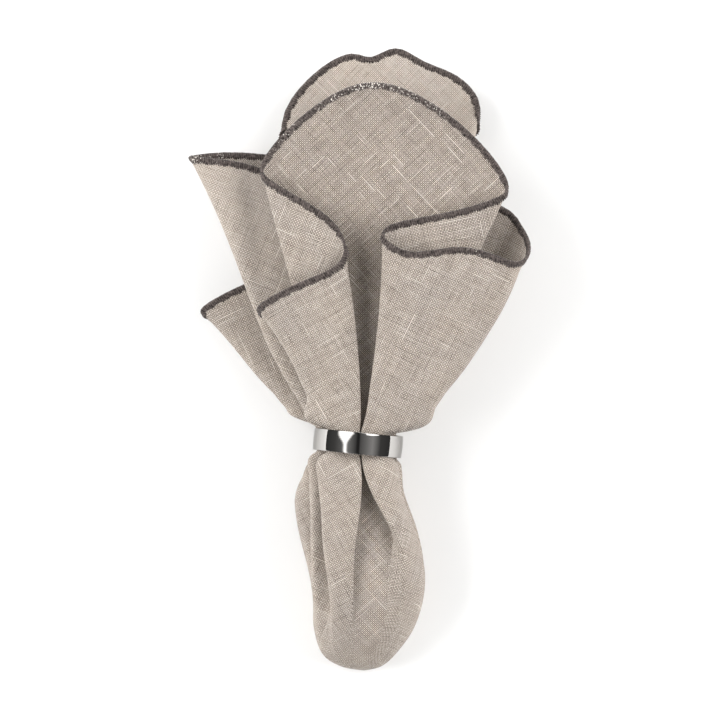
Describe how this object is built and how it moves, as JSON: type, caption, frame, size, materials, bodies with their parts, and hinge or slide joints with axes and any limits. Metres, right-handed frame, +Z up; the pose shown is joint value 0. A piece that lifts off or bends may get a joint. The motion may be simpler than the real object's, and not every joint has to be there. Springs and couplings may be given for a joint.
{
  "type": "napkin in a ring",
  "caption": "Linen table napkin with a dark overlocked hem, gathered through a polished metal ring into a rounded tail and a fan of pleated layers, lying on its back.",
  "frame": {"origin": "on the table, under the middle of the footprint", "axes": "+Y along the napkin from its tail to its fanned hem, +X to the right seen from above, +Z up from the table"},
  "size_m": [0.1636, 0.3006, 0.0542],
  "materials": {
    "linen": "matt plain weave with a dark overlocked hem",
    "metal": "polished"
  },
  "bodies": {
    "root": {"napkin": "linen", "ring": "metal"}
  },
  "joints": []
}
